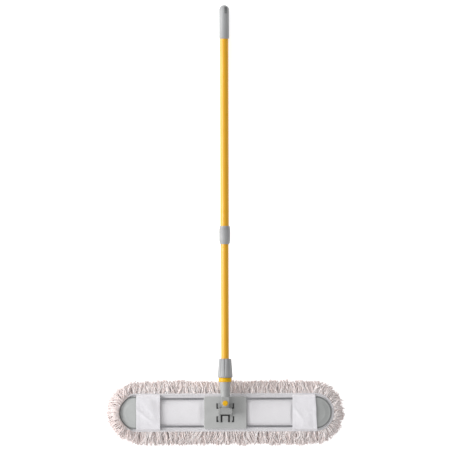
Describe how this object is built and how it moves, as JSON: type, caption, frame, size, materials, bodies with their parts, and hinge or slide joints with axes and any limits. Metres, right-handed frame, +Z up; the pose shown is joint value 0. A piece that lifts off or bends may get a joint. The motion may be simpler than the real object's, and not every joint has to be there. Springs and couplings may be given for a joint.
{
  "type": "flat mop",
  "caption": "Flat dust mop with a fringed yarn cover on a rigid frame, a two-axis swivel joint and a telescopic twist-lock handle with a hanging grip.",
  "frame": {"origin": "centre of the sole, on the floor", "axes": "+Z up from the floor; +Y along the handle, toward the grip; +X along the mop head"},
  "size_m": [0.6688, 1.2403, 0.0697],
  "materials": {
    "yarn": "loose twisted cotton yarn",
    "backing": "plain woven cloth",
    "binding": "woven tape",
    "band": "woven cloth",
    "cap_plastic": "fine grained moulding",
    "rod_steel": "drawn steel rod",
    "plate_plastic": "fine grained moulding",
    "fastener_steel": "zinc plated",
    "joint_plastic": "moulded",
    "yellow_plastic": "moulded",
    "yellow_coat": "smooth powder coat",
    "inner_plastic": "natural nylon",
    "handle_plastic": "fine grained moulding"
  },
  "bodies": {
    "head": {"yarn_pad": "yarn", "yarn_fringe": "yarn", "backing_cloth": "backing", "edge_binding": "binding", "pocket_band_left": "band", "pocket_band_right": "band", "end_cap_left": "cap_plastic", "end_cap_right": "cap_plastic", "frame_rod_front": "rod_steel", "frame_rod_rear": "rod_steel", "centre_plate": "plate_plastic", "under_plate": "plate_plastic", "plate_screws": "fastener_steel", "swivel_bracket": "joint_plastic", "cross_pin": "fastener_steel", "pin_push_nuts": "fastener_steel"},
    "yoke": {"yoke": "joint_plastic"},
    "socket": {"handle_socket": "joint_plastic", "swing_pin": "fastener_steel", "swing_pin_cap": "yellow_plastic", "accent_ring": "yellow_plastic", "lower_tube": "yellow_coat", "tube_plug": "inner_plastic"},
    "collet": {"clamp_collet": "inner_plastic"},
    "nut": {"clamp_nut": "handle_plastic"},
    "cam": {"lock_cam": "inner_plastic"},
    "upper_handle": {"upper_tube": "yellow_coat", "tube_collar": "handle_plastic", "collar_bushing": "inner_plastic", "grip": "handle_plastic"}
  },
  "joints": [
    {"name": "handle_tilt", "type": "hinge", "parent": "head", "child": "yoke", "pos_m": [0, 0.0055, 0.052], "axis": [1, 0, 0], "range_deg": [0, 183.86]},
    {"name": "handle_swing", "type": "hinge", "parent": "yoke", "child": "socket", "pos_m": [0, 0.02849, 0.05122], "axis": [0, 0.0337, 0.9994], "range_deg": [-90, 90]},
    {"name": "collet_travel", "type": "slide", "parent": "socket", "child": "collet", "axis": [0, 0.9994, -0.0337], "range_m": [0, 0.0045]},
    {"name": "nut_turn", "type": "hinge", "parent": "collet", "child": "nut", "pos_m": [0, 0.12693, 0.04791], "axis": [0, 0.9994, -0.0337], "range_deg": [0, 540]},
    {"name": "lock_twist", "type": "hinge", "parent": "socket", "child": "cam", "pos_m": [0, 0.68162, 0.02921], "axis": [0, 0.9994, -0.0337], "range_deg": [0, 90]},
    {"name": "tube_extend", "type": "slide", "parent": "cam", "child": "upper_handle", "axis": [0, 0.9994, -0.0337], "range_m": [-0.316, 0.12]}
  ],
  "couplings": [
    {"joint": "collet_travel", "follows": "nut_turn", "m_per_rad": 0.00047746}
  ]
}
